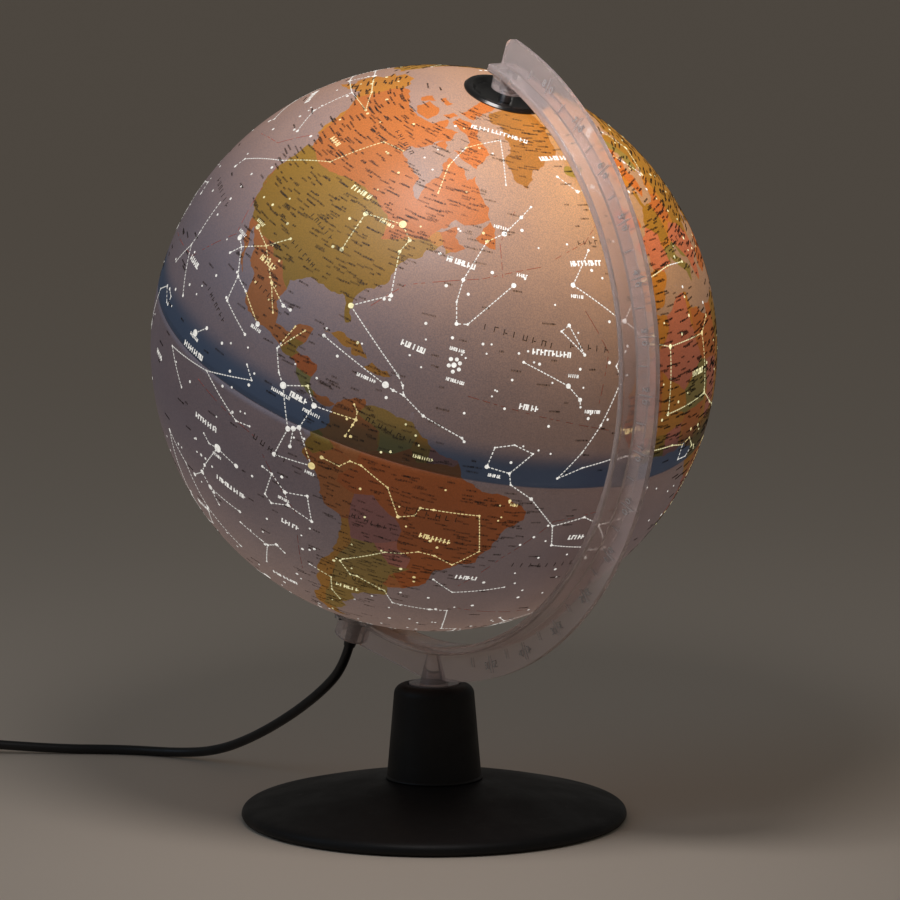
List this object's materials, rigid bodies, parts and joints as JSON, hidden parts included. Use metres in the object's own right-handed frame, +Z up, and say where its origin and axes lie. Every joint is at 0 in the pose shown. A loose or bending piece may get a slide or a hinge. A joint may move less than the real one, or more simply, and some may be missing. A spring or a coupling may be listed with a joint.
{
  "type": "illuminated desktop globe",
  "caption": "Lit desktop globe: printed ball on a tilted clear arm over a round weighted base, with an inside lamp, an in-line switch and a coiled mains lead.",
  "frame": {"origin": "centre of the felt pad under the base, on the table", "axes": "+Z up; +X towards the side where the arm bows out and the north pole leans; +Y completes the frame"},
  "size_m": [0.5631, 0.2628, 0.3486],
  "materials": {
    "globe_print": "printed map on translucent shell, satin",
    "clear_plastic": "clear moulded plastic",
    "black_plastic": "fine spark-eroded texture",
    "cap_plastic": "semi-gloss black",
    "white_plastic": "smooth white moulding",
    "cord_rubber": "soft black sheath",
    "felt": "pressed felt",
    "steel": "zinc-plated steel",
    "brass": "turned brass",
    "lamp_glass": "clear thin glass",
    "lamp_filament": "glowing filament on a glass stem"
  },
  "bodies": {
    "stand": {"base_shell": "black_plastic", "collar": "black_plastic", "underside_cover": "black_plastic", "base_weight": "steel", "base_screws": "steel", "felt_pad": "felt", "clamp_bolt": "steel", "clamp_washer": "steel", "foot_insert": "brass", "meridian_arm": "clear_plastic", "north_pin": "steel", "lamp_sleeve": "white_plastic", "sleeve_screws": "steel", "lampholder": "black_plastic", "lamp_stem": "white_plastic", "screw_shell": "brass", "centre_contact": "brass", "bulb_cap": "steel", "bulb_glass": "lamp_glass", "bulb_mount": "lamp_filament", "strain_relief": "cord_rubber", "cord_upper": "cord_rubber", "cord_lead": "cord_rubber", "cord_coil": "cord_rubber", "cord_tail": "cord_rubber", "cord_tie": "black_plastic", "switch_base": "black_plastic", "switch_cover": "black_plastic", "switch_screws": "steel", "switch_contacts": "brass", "plug_body": "cord_rubber", "plug_pins": "steel"},
    "ball": {"north_hemisphere": "globe_print", "south_hemisphere": "globe_print", "equator_band": "white_plastic", "north_cap": "cap_plastic", "south_collar": "cap_plastic"},
    "rocker": {"switch_rocker": "black_plastic"}
  },
  "joints": [
    {"name": "ball_spin", "type": "hinge", "parent": "stand", "child": "ball", "pos_m": [0, 0, 0.211], "axis": [0.3987, 0, 0.9171], "continuous": true},
    {"name": "switch_press", "type": "hinge", "parent": "stand", "child": "rocker", "pos_m": [-0.27064, -0.09722, 0.0114], "axis": [-0.766, 0.6428, 0], "range_deg": [0, 14]}
  ]
}
